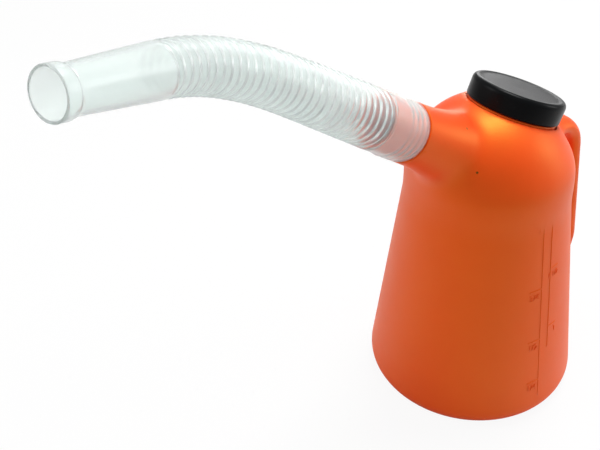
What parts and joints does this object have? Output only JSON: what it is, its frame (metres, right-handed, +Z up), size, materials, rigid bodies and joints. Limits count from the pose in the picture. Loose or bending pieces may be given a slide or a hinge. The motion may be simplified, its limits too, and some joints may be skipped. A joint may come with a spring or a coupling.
{
  "type": "measuring and pouring jug",
  "caption": "Tapered plastic jug with a hollow handle, a tilted screw-capped filler neck and a long bent flexible spout, for measuring and pouring oil or other fluids.",
  "frame": {"origin": "centre of the recessed panel under the foot, 1.5 mm above the standing ring's plane, on the axis of the round body", "axes": "+Z up along the body's axis, -X towards the spigot and spout, +X towards the handle"},
  "size_m": [0.3018, 0.1186, 0.2803],
  "materials": {
    "orange_plastic": "satin blow-moulded polyethylene",
    "black_plastic": "satin moulded polypropylene",
    "white_foam": "matt closed-cell foam",
    "milky_plastic": "milky translucent polyethylene"
  },
  "bodies": {
    "jug": {"jug_body": "orange_plastic", "filler_neck": "orange_plastic"},
    "liner": {"cap_liner": "white_foam"},
    "cap": {"filler_cap": "black_plastic"},
    "spout": {"spout": "milky_plastic", "spout_nozzle": "milky_plastic"}
  },
  "joints": [
    {"name": "cap_lift", "type": "slide", "parent": "jug", "child": "liner", "axis": [0.3955, 0, 0.9184], "range_m": [0, 0.012]},
    {"name": "cap_turn", "type": "hinge", "parent": "liner", "child": "cap", "pos_m": [0.01281, 0, 0.16906], "axis": [0.3955, 0, 0.9184], "range_deg": [0, 1080]},
    {"name": "spout_off", "type": "slide", "parent": "jug", "child": "spout", "axis": [-0.8059, 0, 0.592], "range_m": [0, 0.028]}
  ],
  "couplings": [
    {"joint": "cap_lift", "follows": "cap_turn", "m_per_rad": 0.00063662}
  ]
}
